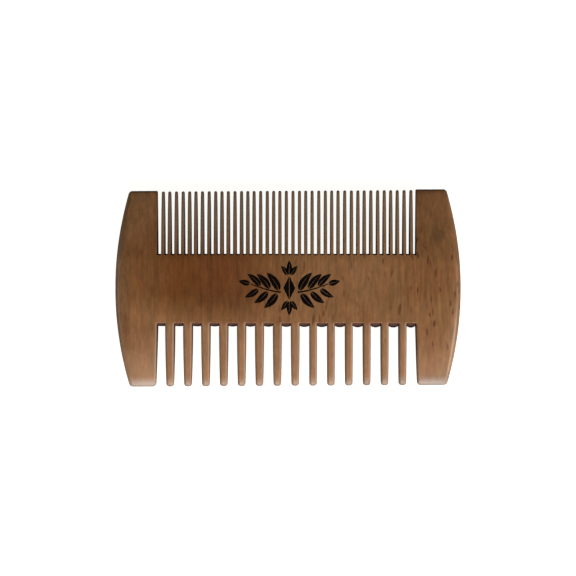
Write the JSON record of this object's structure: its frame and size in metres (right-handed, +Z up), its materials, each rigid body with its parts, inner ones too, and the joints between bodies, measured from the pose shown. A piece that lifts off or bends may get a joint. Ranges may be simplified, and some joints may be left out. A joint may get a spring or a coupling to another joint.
{
  "type": "beard comb",
  "caption": "Flat double-sided wooden beard comb: coarse teeth along one long edge, fine teeth along the other, a solid spine between them and a broad curved guard at each end.",
  "frame": {"origin": "middle of the back face, on the surface that the comb lies on, at the centre of its outline", "axes": "+X along the comb's length, +Y across it towards the fine teeth, +Z up out of the printed front face"},
  "size_m": [0.1, 0.0573, 0.009],
  "materials": {
    "wood": "oiled steamed beech, satin, grain along the teeth",
    "ink": "thin matt black printing ink, used by the printed ornament on the front face only"
  },
  "bodies": {
    "root": {"spine": "wood", "left_guard": "wood", "right_guard": "wood", "coarse_tooth_01": "wood", "coarse_tooth_02": "wood", "coarse_tooth_03": "wood", "coarse_tooth_04": "wood", "coarse_tooth_05": "wood", "coarse_tooth_06": "wood", "coarse_tooth_07": "wood", "coarse_tooth_08": "wood", "coarse_tooth_09": "wood", "coarse_tooth_10": "wood", "coarse_tooth_11": "wood", "coarse_tooth_12": "wood", "coarse_tooth_13": "wood", "coarse_tooth_14": "wood", "fine_tooth_01": "wood", "fine_tooth_02": "wood", "fine_tooth_03": "wood", "fine_tooth_04": "wood", "fine_tooth_05": "wood", "fine_tooth_06": "wood", "fine_tooth_07": "wood", "fine_tooth_08": "wood", "fine_tooth_09": "wood", "fine_tooth_10": "wood", "fine_tooth_11": "wood", "fine_tooth_12": "wood", "fine_tooth_13": "wood", "fine_tooth_14": "wood", "fine_tooth_15": "wood", "fine_tooth_16": "wood", "fine_tooth_17": "wood", "fine_tooth_18": "wood", "fine_tooth_19": "wood", "fine_tooth_20": "wood", "fine_tooth_21": "wood", "fine_tooth_22": "wood", "fine_tooth_23": "wood", "fine_tooth_24": "wood", "fine_tooth_25": "wood", "fine_tooth_26": "wood", "fine_tooth_27": "wood", "fine_tooth_28": "wood", "fine_tooth_29": "wood", "fine_tooth_30": "wood", "fine_tooth_31": "wood", "fine_tooth_32": "wood", "fine_tooth_33": "wood", "fine_tooth_34": "wood", "fine_tooth_35": "wood", "fine_tooth_36": "wood", "fine_tooth_37": "wood", "fine_tooth_38": "wood", "fine_tooth_39": "wood"}
  },
  "joints": []
}
